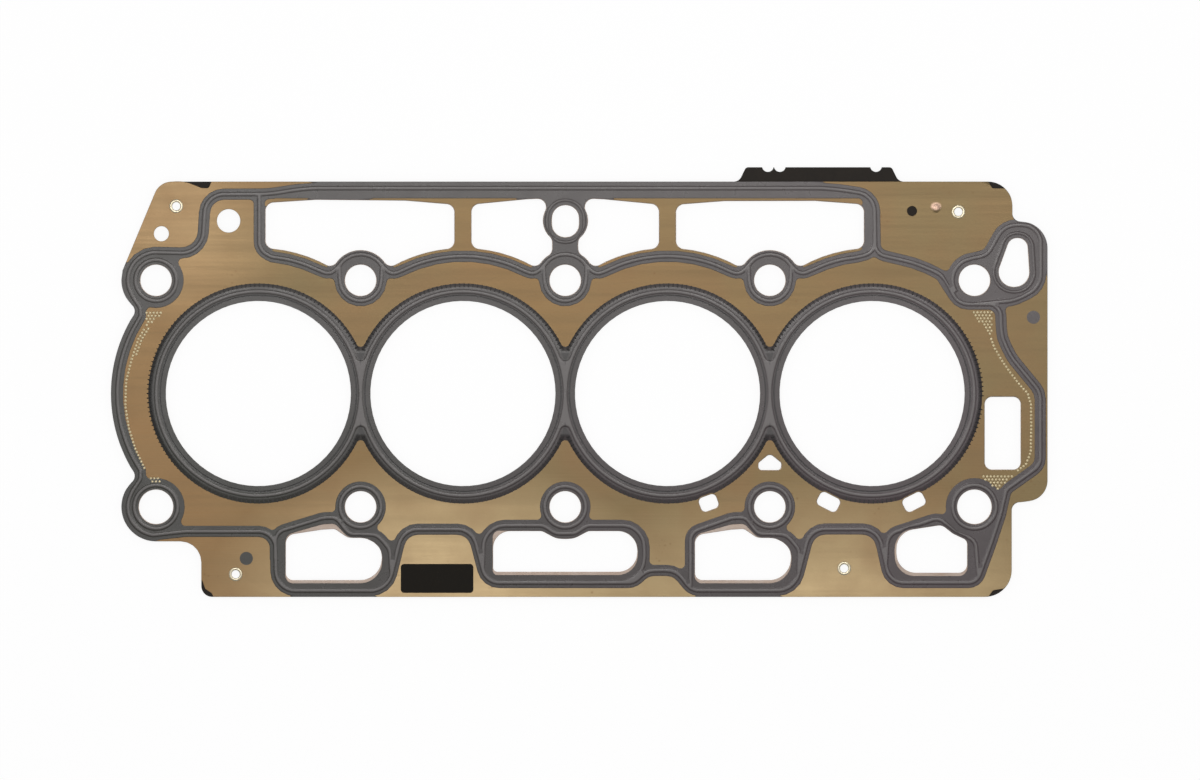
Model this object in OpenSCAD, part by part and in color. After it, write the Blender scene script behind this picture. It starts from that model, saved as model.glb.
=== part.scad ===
// Cylinder head gasket for a four-cylinder engine, a stack of four steel layers joined by eyelets.
// Frame: the head bolt rectangle is centred on X and Y, the underside is at Z = 0, the printed face looks up.

/* [Show] */
// Piece to build

/* [Cylinders] */
// Distance between neighbouring cylinder centres
bore_pitch = 84; // [83:0.5:85]
// Diameter of a cylinder opening
bore_d = 76; // [74:0.5:76.5]
// Radius of the bead crest around a cylinder
bore_bead_r = 41.9; // [41.6:0.1:42]
// Outer radius of the coating around a cylinder
bore_coat_r = 45.2; // [44.6:0.1:45.4]

/* [Head bolts] */
// Distance between the two rows of head bolts
bolt_rows = 93; // [92.5:0.5:93.5]
// Diameter of a head bolt hole
bolt_d = 12.8; // [12.2:0.2:13]
// Diameter of the two corner holes that take a dowel sleeve
dowel_d = 14.1; // [13.5:0.1:14.3]
// Radius of the bead around a head bolt hole
bolt_bead_r = 8.4; // [8.2:0.1:8.6]
// Outer radius of the coating around an inner head bolt hole
bolt_coat_r = 10.4; // [10.2:0.1:10.6]
// Outer radius of the coating around a corner head bolt hole
corner_coat_r = 11.4; // [11:0.1:11.8]

/* [Layers] */
// Thickness of the upper bead layer
top_t = 0.25; // [0.2:0.05:0.3]
// Thickness of the black coated middle layer
black_t = 0.25; // [0.2:0.05:0.3]
// Thickness of the plain spacer layer
spacer_t = 0.45; // [0.4:0.05:0.6]
// Thickness of the lower bead layer
bottom_t = 0.25; // [0.2:0.05:0.3]
// Height of a bead over the face of its layer
bead_h = 0.2; // [0.15:0.05:0.25]
// Width of a bead
bead_w = 2.2; // [2:0.1:2.4]
// Width of the coating along a bead
band_w = 4.6; // [4.4:0.1:4.8]
// Thickness of the rubber coating
coat_t = 0.04; // [0.03:0.01:0.06]
// How far the spacer reaches past the other layers all round a port
lip = 0.2; // [0.1:0.05:0.4]
// How far the spacer reaches past the other layers in a head bolt hole
hole_lip = 0.2; // [0.2:0.05:0.3]
// How much further the spacer reaches along the lower edge of a lower port
low_lip = 1.1; // [0.9:0.1:1.2]
// How much further the spacer reaches at the peak of a long lower port
peak_lip = 2; // [1.6:0.1:2.1]
// Bare strip between the coating and the edge of the sheet
bare_edge = 0.3; // [0.2:0.1:0.8]

/* [Outline] */
// Radius of the left end around the first cylinder
end_r = 60.5; // [55:0.5:66]
// Radius of the two left corner lobes around their bolt holes
lobe_r = 14.2; // [13.8:0.1:14.6]
// Fillet in the inner corners of the outline
outline_fillet = 3; // [2.6:0.2:3.4]
// Height of the upper edge over the cylinder line
top_edge = 87; // [79:0.5:95]
// Depth of the lower edge under the cylinder line
bottom_edge = 83.5; // [76:0.5:90]
// Distance of the right edge from the middle
right_edge = 198; // [198:0.1:198.6]

/* [Tab] */
// Width of the code tab at its foot
tab_foot = 65.6; // [64:0.2:67]
// Width of the code tab at its outer edge
tab_top = 59.8; // [58:0.2:61]
// Height of the code tab
tab_h = 5.9; // [5.4:0.1:6.2]
// Radius of a code notch
notch_r = 2.4; // [2.3:0.1:2.5]
// Depth of a code notch
notch_depth = 1.9; // [1.6:0.1:2.1]

/* [Ports] */
// Radius of the lower edges of the upper ports around a cylinder
port_bore_r = 59.8; // [59.6:0.1:60]
// Radius of the lower edges of the upper ports around a bolt hole
port_bolt_r = 12.4; // [12.3:0.1:12.6]
// Width of the two bare struts between the upper ports
strut_w = 7.1; // [6.6:0.1:7.6]
// Radius of the seal line around the cylinders, over the first and second rows
seal_bore_r = 56.4; // [56.2:0.1:56.6]
// Radius of the seal line around the inner bolt holes
seal_bolt_r = 10.7; // [10.6:0.1:10.8]
// Radius of the seal line around the left corner holes
seal_corner_r = 11.5; // [11.4:0.1:11.6]
// Width of the window beside the last cylinder
window_w = 14.7; // [14:0.1:15]
// Length of the window beside the last cylinder
window_l = 29.8; // [29:0.2:30]
// Width of the two slots beside the last cylinder
slot_w = 5.9; // [5.6:0.1:6.2]
// Length of the two slots beside the last cylinder
slot_l = 9; // [8.6:0.1:9.4]
// Radius of the oval hole's ends
oval_r = 5.4; // [5.2:0.1:5.5]
// Width of the neck between the upper ports, around the oval hole
neck_w = 10.8; // [10.4:0.2:11.2]

/* [Print] */
// Radius of the two coating dots
dot_r = 2.7; // [2.5:0.1:2.9]
// Length of the bare black marking field
label_w = 29.8; // [29:0.2:30]
// Height of the bare black marking field
label_h = 11.9; // [11.5:0.1:12]
// Corner radius of the marking field
label_corner = 1.4; // [1:0.1:2]
// Thickness of the marking field
print_t = 0.03; // [0.02:0.01:0.04]

/* [Eyelets] */
// Diameter of the hole through an eyelet
eyelet_bore = 3.4; // [3.2:0.1:3.6]
// Outer diameter of the tube of an eyelet
eyelet_tube = 4.2; // [4:0.1:4.4]
// Diameter of the rolled flange of an eyelet
eyelet_flange = 5.6; // [5.4:0.1:6]
// Thickness of the rolled flange
flange_t = 0.18; // [0.15:0.01:0.2]

/* [Hidden] */

gold = [0.59, 0.47, 0.32];
coat_grey = [0.36, 0.35, 0.34];
black = [0.13, 0.12, 0.11];
steel = [0.62, 0.6, 0.57];
eyelet_steel = [0.8, 0.79, 0.74];

$fn = 24;
hole_fn = 36;
bore_fn = 72;
fillet_fn = 16;
arc_step = 20;
wide_step = 8;

// How deep a bead is rooted in its sheet
root = 0.1;
// How far a bead and the coating stay from a port's edge
bead_back = 0.4;
coat_back = 0.3;
// Coating beside the lower ports, and the fillet where two bands meet
port_rim = 1.6;
coat_fillet = 1.8;
slot_corner = 1.9;
window_corner = 3;
port_corner = 3.4;
tab_fillet = 3.4;

bore_r = bore_d / 2;
bolt_y = bolt_rows / 2;
low_edge = -bottom_edge;
ear_edge = top_edge - 16.4;
half_pitch = bore_pitch / 2;
end_bolt = 2 * bore_pitch;
first_bore = -1.5 * bore_pitch;
last_bore = 1.5 * bore_pitch;

bottom_z = bead_h;
spacer_z = bottom_z + bottom_t;
black_z = spacer_z + spacer_t;
top_z = black_z + black_t;
face_z = top_z + top_t;
crest_z = face_z + bead_h;

bore_xs = [first_bore, -half_pitch, half_pitch, last_bore];
inner_bolts = [[-bore_pitch, bolt_y], [0, bolt_y], [bore_pitch, bolt_y],
               [-bore_pitch, -bolt_y], [0, -bolt_y], [bore_pitch, -bolt_y]];
upper_corners = [[-end_bolt, bolt_y], [end_bolt, bolt_y]];
dowel_corners = [[-end_bolt, -bolt_y], [end_bolt, -bolt_y]];

eyelet_tl = [-end_bolt + 8.3, top_edge - 10.1];
eyelet_tr = [end_bolt - 6.6, top_edge - 12.4];
eyelet_bl = [-end_bolt + 32.7, low_edge + 9.3];
eyelet_br = [bore_pitch + 30.5, low_edge + 11.7];
peep_at = [end_bolt - 25.65, top_edge - 12.1];
peep_r = 2.05;
dimple_at = [end_bolt - 15.8, top_edge - 10.9];
dimple_r = 2.2;
tab_notches = [-20.9, -16, 23.5];
// Where the left end's curve turns towards a corner lobe, seen from the first cylinder
end_joint = (end_r - 1) * [cos(35.8), sin(35.8)];
passage_bead = 2.1;

// Corner radii that give way where the room between the edges gets small
passage_r = min(6.1, (ear_edge - bolt_y) / 3.9);
passage_top_r = min(4, (ear_edge - bolt_y) / 6, 97 / (ear_edge - bolt_y));
port_room = bottom_edge - 63.5;
port_end_r = min(7, 0.54 * (port_room - 6.8));
port_foot_r = min(9, 0.7 * (port_room - 6.8));
port_side_r = min(8, 0.48 * (port_room - 3.3));
port_low_r = min(3.5, 0.28 * (port_room - 6.7));
line_foot_r = min(10, 0.43 * (port_room + 3.5));

function unit(v) = v / norm(v);
function flat(p) = [p[0], p[1]];

// Points of one rounded corner at q, between p and s
function corner(p, q, s, r) =
  let (u = unit(p - q))
  let (v = unit(s - q))
  let (half = acos(u * v) / 2)
  let (c = q + unit(u + v) * r / sin(half))
  let (d = q + u * r / tan(half) - c)
  let (a = atan2(d[1], d[0]))
  let (turn = 180 - 2 * half)
  let (way = (u[0] * v[1] - u[1] * v[0]) > 0 ? -1 : 1)
  let (n = max(1, ceil(turn / arc_step)))
  [for (i = [0:n]) c + r * [cos(a + way * turn * i / n), sin(a + way * turn * i / n)]];

// Closed outline from corners given as x, y and radius
function closed(l) =
  let (n = len(l))
  [for (i = [0:n - 1])
    each (l[i][2] > 0
      ? corner(flat(l[(i + n - 1) % n]), flat(l[i]), flat(l[(i + 1) % n]), l[i][2])
      : [flat(l[i])])];

// Open line from corners given as x, y and radius
function open(l) =
  let (n = len(l))
  [for (i = [0:n - 1])
    each (i > 0 && i < n - 1 && l[i][2] > 0
      ? corner(flat(l[i - 1]), flat(l[i]), flat(l[i + 1]), l[i][2])
      : [flat(l[i])])];

// Corners of an arc, to be set among the corners of a line
function arc(c, r, a0, a1, step) =
  let (n = max(1, ceil(abs(a1 - a0) / step)))
  [for (i = [0:n]) [c[0] + r * cos(a0 + (a1 - a0) * i / n), c[1] + r * sin(a0 + (a1 - a0) * i / n), 0]];

// Line shifted sideways
function beside(l, d) =
  let (n = len(l))
  [for (i = [0:n - 1])
    let (a = unit(i == 0 ? l[1] - l[0] : l[i] - l[i - 1]))
    let (b = unit(i == n - 1 ? l[i] - l[i - 1] : l[i + 1] - l[i]))
    let (m = unit([-a[1] - b[1], a[0] + b[0]]))
    l[i] + m * d / (m * [-b[1], b[0]])];

function back(l) = [for (i = [len(l) - 1:-1:0]) l[i]];

// Seal line around everything that carries oil or water
outer_line = concat(
  [[-end_bolt + 20.4, top_edge - 5.2, 8], [-bore_pitch - 38, top_edge - 5.1, 30]],
  [[-bore_pitch - 22, top_edge - 2.7, 60], [bore_pitch + 24, top_edge - 2.7, 60]],
  [[bore_pitch + 42.9, top_edge - 5.4, 8], [bore_pitch + 43.3, 57.4, 5]],
  arc([last_bore, 0], seal_bore_r - 0.2, 79, 60, wide_step),
  [[end_bolt - 6.2, bolt_y - 9.8, 7], [end_bolt + 10.6, bolt_y - 9.8, 5], [end_bolt + 11.2, 23, 16]],
  [[end_bolt + 15.5, 14.5, 12], [right_edge - 3, 0.5, 8], [right_edge - 3, -29.5, 6]],
  [[end_bolt + 13, -39.5, 4], [end_bolt + 10.6, -50, 12], [end_bolt + 6.6, -62, 20]],
  [[end_bolt + 0.9, low_edge + 5.9, 5]],
  [[bore_pitch + 49.3, low_edge + 5.9, 7], [bore_pitch + 44.4, -55.6, 8], [bore_pitch + 16.6, -55.6, 8]],
  [[bore_pitch + 10, low_edge + 2.7, 9], [bore_pitch - 32, low_edge + 2.7, 6]],
  [[bore_pitch - 38.5, low_edge + 10.9, 8], [33.6, low_edge + 10.9, 8]],
  [[28, low_edge + 5.9, 6], [-32.4, low_edge + 5.9, 7]],
  [[-38.2, -55.7, 8], [-bore_pitch + 17.3, -55.7, 8], [-bore_pitch + 11, low_edge + 2.6, 9]],
  [[-bore_pitch - 34.6, low_edge + 2.6, 8], [-bore_pitch - 35, -56.6, 7], [-end_bolt + 12, -56.6, 20]],
  arc([-end_bolt, -bolt_y], seal_corner_r, -92, -206, arc_step),
  [[first_bore - end_joint[0], -end_joint[1], 4]],
  arc([first_bore, 0], end_r - 2.7, 213, 147, wide_step),
  [[first_bore - end_joint[0], end_joint[1], 4]],
  arc([-end_bolt, bolt_y], seal_corner_r, 206, 92, arc_step),
  [[-end_bolt + 18.9, 57.5, 9]]);

// Seal line between the upper ports and the cylinders
upper_line = concat(
  [[-bore_pitch - 41.6, top_edge - 5, 0], [-bore_pitch - 41.6, 58.6, 6]],
  arc([first_bore, 0], seal_bore_r, 84, 64, wide_step),
  [[-bore_pitch - 12.6, 48.8, 4]],
  arc([-bore_pitch, bolt_y], seal_bolt_r, 148, 32, arc_step),
  [[-bore_pitch + 12.6, 48.8, 4]],
  arc([-half_pitch, 0], seal_bore_r, 117, 63, wide_step),
  [[-12.6, 48.8, 4]],
  arc([0, bolt_y], seal_bolt_r, 148, 32, arc_step),
  [[12.6, 48.8, 4]],
  arc([half_pitch, 0], seal_bore_r, 117, 63, wide_step),
  [[bore_pitch - 12.6, 48.8, 4]],
  arc([bore_pitch, bolt_y], seal_bolt_r, 148, 32, arc_step),
  [[bore_pitch + 12.6, 48.8, 4]],
  arc([last_bore, 0], seal_bore_r, 116, 96, wide_step),
  [[bore_pitch + 43, 58, 5], [bore_pitch + 43, 66, 0]]);

// Seal line over a long lower port with a bolt hole near its right end
function long_line(left, low, right) =
  [[left, low, 0], [left, -57, 5], [-15.5, -51, 7], [-10, -50.9, 4], [-4.8, -57.6, 4],
   [6.8, -57.9, 6], [12, -64, 5], [right, low_edge + 9.5, 0]];
// Seal line over the middle lower port
middle_line = [[-33.8, low_edge + 11.5, 0], [-33.4, -54.1, 9], [-9, -54.1, 5], [-4, -57.4, 5], [4, -57.4, 5],
               [9, -54.1, 5], [32.4, -54.1, 0.9 * line_foot_r],
               [32.4, low_edge + 5.9, line_foot_r], [16, low_edge + 5.9, 0]];
// Seal line over the last lower port
last_line = [[-36.4, low_edge + 13.5, 0], [-35.6, -57.8, 6], [-14.5, -50.9, 5], [-7.5, -57.2, 5],
             [0.4, -60, 5], [1.6, low_edge + 8.5, 0]];
// Lower half of the bead around an upper inner bolt hole
hole_line = concat([[-8.8, 5.8, 0]], arc([0, 0], bolt_bead_r, 185, 355, arc_step), [[8.8, 5.8, 0]]);
// Seal line over the upper right bolt hole and around the side passage
ear_line = concat(
  arc([end_bolt, bolt_y], 9, 214, 100, arc_step),
  [[end_bolt + 5.4, 57, 6], [end_bolt + 12.2, ear_edge - 1.4, 8.5], [right_edge - 2.8, ear_edge - 1.4, 7.5]],
  [[right_edge - 2.8, 43.4, 9], [end_bolt + 16, 38.2, 8], [end_bolt + 1, 36.7, 0]]);

module ring(l, w) {
  difference() {
    offset(delta = w / 2) polygon(closed(l));
    offset(delta = -w / 2) polygon(closed(l));
  }
}

module stroke(l, w) {
  polygon(concat(beside(open(l), w / 2), back(beside(open(l), -w / 2))));
}

// All seal lines between the holes, drawn at one width
module lines(w) {
  offset(delta = 0) {
    ring(outer_line, w);
    stroke(upper_line, w);
    translate([-bore_pitch, 0]) stroke(long_line(-35, low_edge + 15.5, 12.7), w);
    translate([bore_pitch, 0]) stroke(long_line(-32.6, low_edge + 4.5, 11.8), w);
    stroke(middle_line, w);
    translate([end_bolt, 0]) stroke(last_line, w);
    stroke(ear_line, w);
    for (x = [-bore_pitch, 0, bore_pitch]) translate([x, bolt_y]) stroke(hole_line, w);
  }
}

module bolt_discs(inner, upper, dowel) {
  for (p = inner_bolts) translate(p) circle(r = inner, $fn = hole_fn);
  for (p = upper_corners) translate(p) circle(r = upper, $fn = hole_fn);
  for (p = dowel_corners) translate(p) circle(r = dowel, $fn = hole_fn);
}

module bore_discs(r) {
  for (x = bore_xs) translate([x, 0]) circle(r = r, $fn = bore_fn);
}

module slot_port(x, y, l, w, turn) {
  translate([x, y]) rotate(turn) offset(r = slot_corner)
    square([l - 2 * slot_corner, w - 2 * slot_corner], center = true);
}

// Long lower port, placed by its bolt column, made higher at its peak and deeper by what is given
module long_port(rise, drop) {
  polygon(closed([[-30.7, -58.2, 4], [-15.8, -55.9 + rise, 10], [-10.6, -55.6 + rise, 3], [-5.2, -59.3, 5],
                  [2.6, -59.3, 9], [8.7, -63.4, port_end_r], [8.7, low_edge + 6.9 - drop, port_foot_r],
                  [-30.7, low_edge + 6.9 - drop, 3]]));
}

module middle_port(corner_r, drop) {
  polygon(closed([[-29.6, -56.5, corner_r], [-9.5, -56.5, 4], [-3.5, -59.7, 8], [3.5, -59.7, 8],
                  [9.5, -56.5, 4], [29.6, -56.5, port_side_r], [29.6, low_edge + 10.3 - drop, port_side_r],
                  [-29.6, low_edge + 10.3 - drop, 1.8]]));
}

module last_port(drop) {
  polygon(closed([[-32 - drop / 2, -56.9, port_side_r], [-13.4, -54, 4], [-8.8, -57.6, 6], [-3, -60.3, 2.5],
                  [-3, low_edge + 9.9 - drop, port_low_r],
                  [-32 - drop / 2, low_edge + 9.9 - drop, port_side_r]]));
}

module lower_ports(rise, drop, corner_r) {
  translate([-bore_pitch, 0]) long_port(rise, drop);
  translate([bore_pitch, 0]) long_port(rise, drop);
  middle_port(corner_r, drop);
  translate([end_bolt, 0]) last_port(drop);
}

module side_passage() {
  polygon(closed([[end_bolt + 7.4, bolt_y - 2.7, passage_r], [end_bolt + 22.9, bolt_y - 2.7, passage_r],
                  [end_bolt + 21.6, ear_edge - 6.8, passage_top_r],
                  [end_bolt + 14.7, ear_edge - 6.8, passage_top_r]]));
}

module oval_hole() {
  polygon(closed([[-oval_r, top_edge - 22.8, oval_r], [oval_r + 0.2, top_edge - 22.8, oval_r],
                  [oval_r + 0.2, top_edge - 9.7, oval_r], [-oval_r, top_edge - 9.7, oval_r]]));
}

module side_window() {
  translate([end_bolt + 11.6, -16.3]) offset(r = window_corner)
    square([window_w - 2 * window_corner, window_l - 2 * window_corner], center = true);
}

module small_port() {
  polygon(closed([[0, -24.7, 2], [4.7, -28.5, 1.2], [4.5, -31.4, 1.4],
                  [-4.7, -31.4, 1.4], [-4.6, -28.5, 1.2]]));
}

// Upper ports, one chamber cut by two struts and by the neck around the oval hole
module upper_ports() {
  offset(r = port_corner) offset(delta = -port_corner) difference() {
    translate([0, top_edge])
      polygon(closed([[-bore_pitch - 39, -8.8, 0], [-bore_pitch, -6.3, 250], [-half_pitch, -9.8, 0],
                      [-14, -7.1, 40], [14, -7.1, 40], [half_pitch, -9.8, 0],
                      [bore_pitch, -6.6, 250], [bore_pitch + 38.6, -9.4, 0],
                      [bore_pitch + 38.6, -47, 0], [-bore_pitch - 39, -47, 0]]));
    offset(r = -outline_fillet) offset(delta = outline_fillet) {
      bore_discs(port_bore_r);
      for (x = [-bore_pitch, 0, bore_pitch]) translate([x, bolt_y]) circle(r = port_bolt_r, $fn = hole_fn);
      translate([-neck_w / 2, 20]) square([neck_w, top_edge - 27]);
    }
    for (x = [-half_pitch, half_pitch]) translate([x - strut_w / 2, 55]) square([strut_w, top_edge - 57]);
    translate([0.1, top_edge - 16]) circle(r = 9.3, $fn = hole_fn);
  }
}

module openings() {
  upper_ports();
  lower_ports(0, 0, 7);
  side_passage();
  oval_hole();
  side_window();
  translate([bore_pitch, 0]) small_port();
  slot_port(bore_pitch + 24.1, -44.5, slot_l, slot_w, -27);
  slot_port(bore_pitch + 59.2, -44.5, slot_l, slot_w, 27);
  slot_port(bore_pitch - 25.1, -44.9, 7.4, 6, 20);
}

// Openings of every layer but the spacer, whose edge they let show
module wide_openings() {
  offset(delta = lip) {
    openings();
    lower_ports(peak_lip, low_lip, 2.5);
  }
}

// Round holes, with the head bolt holes opened up by what is given
module round_holes(more) {
  bore_discs(bore_r);
  bolt_discs(bolt_d / 2 + more, bolt_d / 2 + more, dowel_d / 2 + more);
  translate([-end_bolt + 29.8, top_edge - 16.1]) circle(r = 4.8);
  translate([-end_bolt + 2.2, top_edge - 21.4]) circle(r = 3.1);
  for (p = [eyelet_tl, eyelet_tr, eyelet_bl, eyelet_br]) translate(p) circle(r = eyelet_tube / 2);
}

// Outline shared by all layers
module outline() {
  offset(r = -outline_fillet) offset(delta = outline_fillet) {
    polygon(closed([[-end_bolt + 1.5, top_edge, 7.5], [end_bolt + 15.6, top_edge, 10],
                    [end_bolt + 15.6, ear_edge, 0], [right_edge, ear_edge, 11],
                    [right_edge, -43.3, 8.5], [end_bolt + 15.3, -45, 0],
                    [end_bolt + 15.3, low_edge, 11], [-end_bolt + 18.6, low_edge, 4.5],
                    [-end_bolt + 18.6, -bolt_y - lobe_r, 8.5], [-end_bolt, -bolt_y - lobe_r, 0],
                    [-end_bolt + 2, 0, 0], [-end_bolt, bolt_y, 0], [-end_bolt - 13.1, bolt_y + 5.5, 0]]));
    translate([-end_bolt, -bolt_y]) circle(r = lobe_r);
    translate([-end_bolt, bolt_y]) circle(r = lobe_r);
    intersection() {
      translate([first_bore, 0]) circle(r = end_r, $fn = bore_fn);
      translate([-end_bolt - 20, -40]) square([40, 80]);
    }
  }
}

// Code tab on the upper edge
module tab() {
  translate([bore_pitch + 20.1, top_edge])
    polygon(closed([[-tab_foot / 2 - 2, -4, 0], [-tab_foot / 2, 0, 0], [-tab_top / 2, tab_h, 1.6],
                    [tab_top / 2, tab_h, 1.6], [tab_foot / 2, 0, 0], [tab_foot / 2 + 2, -4, 0]]));
}

// Round code notches in the tab's outer edge
module code_notches() {
  for (x = tab_notches)
    translate([bore_pitch + 20.1 + x, top_edge + tab_h - notch_depth + notch_r]) circle(r = notch_r);
}

// Corner pieces left off the bead layers, which let the black layer show
module corner_cuts() {
  polygon(closed([[-end_bolt + 10, top_edge + 1, 0], [-end_bolt + 11, top_edge, 0],
                  [-end_bolt + 18.9, top_edge - 2.7, 1], [-end_bolt + 21.6, top_edge - 2.7, 1],
                  [-end_bolt + 23.2, top_edge + 1, 0]]));
  polygon(closed([[end_bolt + 5, top_edge + 1, 0], [end_bolt + 7.4, top_edge - 2.8, 1],
                  [end_bolt + 20, top_edge - 2.8, 0], [end_bolt + 20, top_edge + 1, 0]]));
  polygon(closed([[-end_bolt + 14, low_edge + 6.7, 0], [-end_bolt + 19, low_edge + 6.7, 0],
                  [-end_bolt + 20.2, low_edge + 3.3, 1], [-end_bolt + 22.9, low_edge + 1.5, 1],
                  [-end_bolt + 24, low_edge - 1, 0], [-end_bolt + 14, low_edge - 1, 0]]));
  polygon(closed([[end_bolt + 5, low_edge - 1, 0], [end_bolt + 7.6, low_edge + 2.7, 1],
                  [end_bolt + 18, low_edge + 4.3, 0], [end_bolt + 18, low_edge - 1, 0]]));
}

// Coated area, before the holes are taken out
module coated() {
  intersection() {
    offset(r = -coat_fillet, $fn = fillet_fn) offset(r = coat_fillet, $fn = fillet_fn) {
      lines(band_w);
      bore_discs(bore_coat_r);
      bolt_discs(bolt_coat_r, corner_coat_r, corner_coat_r + 0.4);
      translate([-bore_pitch - 41, top_edge - 6.9]) square([2 * bore_pitch + 78, 4]);
      translate([bore_pitch + 38, 61]) square([5, top_edge - 70]);
      translate([-neck_w - 1.2, 54]) square([2 * neck_w + 2.4, top_edge - 59]);
      offset(delta = port_rim) lower_ports(peak_lip, low_lip, 2.5);
      polygon(closed(ear_line));
      polygon([[end_bolt - 4, -52], [end_bolt + 9, -52], [end_bolt + 1, low_edge + 11.5]]);
    }
    offset(delta = -bare_edge) outline();
  }
}

// Bead lines, each as a narrow strip
module bead_lines(w) {
  difference() {
    union() {
      lines(w);
      difference() {
        bore_discs(bore_bead_r + w / 2);
        bore_discs(bore_bead_r - w / 2);
      }
      for (x = [-bore_pitch, 0, bore_pitch]) translate([x, -bolt_y]) circle_bead(bolt_bead_r, w);
      translate([-end_bolt, bolt_y]) circle_bead(bolt_bead_r, w);
      for (p = dowel_corners) translate(p) circle_bead(bolt_bead_r + 0.5, w);
      difference() {
        offset(delta = passage_bead + 0.4 * w) passages();
        offset(delta = passage_bead - 0.4 * w) passages();
      }
    }
    offset(delta = bead_back) wide_openings();
  }
}

module circle_bead(r, w) {
  difference() {
    circle(r = r + w / 2, $fn = hole_fn);
    circle(r = r - w / 2, $fn = hole_fn);
  }
}

module passages() {
  side_passage();
  oval_hole();
}

module bead_sheet() {
  difference() {
    outline();
    corner_cuts();
    wide_openings();
    round_holes(hole_lip);
    children();
  }
}

module coat_dot(x, y, r) {
  color(coat_grey) translate([x, y, face_z]) cylinder(r = r, h = coat_t);
}

module eyelet(p) {
  color(eyelet_steel) translate([p[0], p[1], 0]) difference() {
    union() {
      translate([0, 0, bottom_z - flange_t]) cylinder(d = eyelet_flange, h = flange_t);
      translate([0, 0, bottom_z - flange_t]) cylinder(d = eyelet_tube, h = face_z - bottom_z + 2 * flange_t);
      translate([0, 0, face_z]) cylinder(d = eyelet_flange, h = flange_t);
    }
    cylinder(d = eyelet_bore, h = crest_z);
  }
}

module top_layer() {
  color(gold) {
    translate([0, 0, top_z]) linear_extrude(top_t) bead_sheet() translate(peep_at) circle(r = peep_r);
    translate([0, 0, face_z - root]) linear_extrude(bead_h + root) bead_lines(bead_w);
    translate([dimple_at[0], dimple_at[1], face_z]) cylinder(r1 = dimple_r, r2 = dimple_r / 2, h = bead_h);
  }
}

// Coating on the flat of a bead layer, up to the feet of its beads
module flat_skin() {
  difference() {
    coated();
    offset(delta = coat_back) wide_openings();
    round_holes(hole_lip);
    bead_lines(bead_w);
  }
}

// The rubber lies on the flat of the sheet and on the crest of every bead
module top_coating() {
  color(coat_grey) {
    translate([0, 0, face_z]) linear_extrude(coat_t) flat_skin();
    translate([0, 0, crest_z]) linear_extrude(coat_t) bead_lines(bead_w);
  }
}

module coat_dot_left() {
  coat_dot(-end_bolt + 37.1, low_edge + 15.8, dot_r);
}

module coat_dot_right() {
  coat_dot(right_edge - 5.8, 31.3, dot_r);
}

module label_print() {
  color(black) translate([-bore_pitch + 31.4, low_edge + 7.6, face_z]) linear_extrude(print_t)
    offset(r = label_corner) square([label_w - 2 * label_corner, label_h - 2 * label_corner], center = true);
}

module black_layer() {
  color(black) translate([0, 0, black_z]) linear_extrude(black_t) difference() {
    offset(r = -tab_fillet) offset(delta = tab_fillet) {
      outline();
      tab();
    }
    code_notches();
    wide_openings();
    round_holes(hole_lip);
  }
}

module spacer_layer() {
  color(steel) translate([0, 0, spacer_z]) linear_extrude(spacer_t) difference() {
    outline();
    openings();
    round_holes(0);
  }
}

module bottom_layer() {
  color(gold) {
    translate([0, 0, bottom_z]) linear_extrude(bottom_t) bead_sheet();
    linear_extrude(bead_h + root) bead_lines(bead_w);
  }
}

module bottom_coating() {
  color(coat_grey) translate([0, 0, bottom_z - coat_t]) linear_extrude(coat_t) flat_skin();
}

module eyelet_top_left() {
  eyelet(eyelet_tl);
}

module eyelet_top_right() {
  eyelet(eyelet_tr);
}

module eyelet_bottom_left() {
  eyelet(eyelet_bl);
}

module eyelet_bottom_right() {
  eyelet(eyelet_br);
}

top_layer();
top_coating();
coat_dot_left();
coat_dot_right();
label_print();
black_layer();
spacer_layer();
bottom_layer();
bottom_coating();
eyelet_top_left();
eyelet_top_right();
eyelet_bottom_left();
eyelet_bottom_right();
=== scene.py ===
import math

import bpy
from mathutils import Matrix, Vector, geometry
from mathutils.bvhtree import BVHTree


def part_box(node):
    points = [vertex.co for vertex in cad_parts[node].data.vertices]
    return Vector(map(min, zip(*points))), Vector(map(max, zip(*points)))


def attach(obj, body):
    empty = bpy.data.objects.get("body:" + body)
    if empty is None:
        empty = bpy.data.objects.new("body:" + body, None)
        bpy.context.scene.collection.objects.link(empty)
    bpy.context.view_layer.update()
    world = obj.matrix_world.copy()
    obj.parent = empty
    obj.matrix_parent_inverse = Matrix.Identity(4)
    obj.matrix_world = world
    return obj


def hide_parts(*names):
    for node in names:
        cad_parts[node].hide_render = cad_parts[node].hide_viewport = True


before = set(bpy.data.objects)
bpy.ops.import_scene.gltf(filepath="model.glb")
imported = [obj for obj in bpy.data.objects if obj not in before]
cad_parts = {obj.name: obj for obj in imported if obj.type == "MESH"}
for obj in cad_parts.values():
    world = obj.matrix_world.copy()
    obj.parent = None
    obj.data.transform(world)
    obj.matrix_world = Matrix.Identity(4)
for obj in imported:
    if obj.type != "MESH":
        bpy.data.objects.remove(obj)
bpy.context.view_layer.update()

# Lengths below are in millimetres, in the frame of the part: X along the cylinders, Y towards
# the code tab, Z out of the printed face. They become metres where a mesh is written.
mm = 0.001

stack = {
    "borePitch": 84,
    "face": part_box("top_coating")[0].z / mm,  # upper face of the upper bead layer
    "crest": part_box("top_layer")[1].z / mm,
    "topUnder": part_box("top_layer")[0].z / mm,
    "bottomFace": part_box("bottom_coating")[1].z / mm,  # lower face of the lower bead layer
    "bottomOver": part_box("bottom_layer")[1].z / mm,
    "coat": (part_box("top_coating")[1].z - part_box("top_layer")[1].z) / mm,
    "grooveRadius": 40.3,  # of the groove pressed round every cylinder
}
boreXs = [(i - 1.5) * stack["borePitch"] for i in range(4)]


# Node trees

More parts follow.
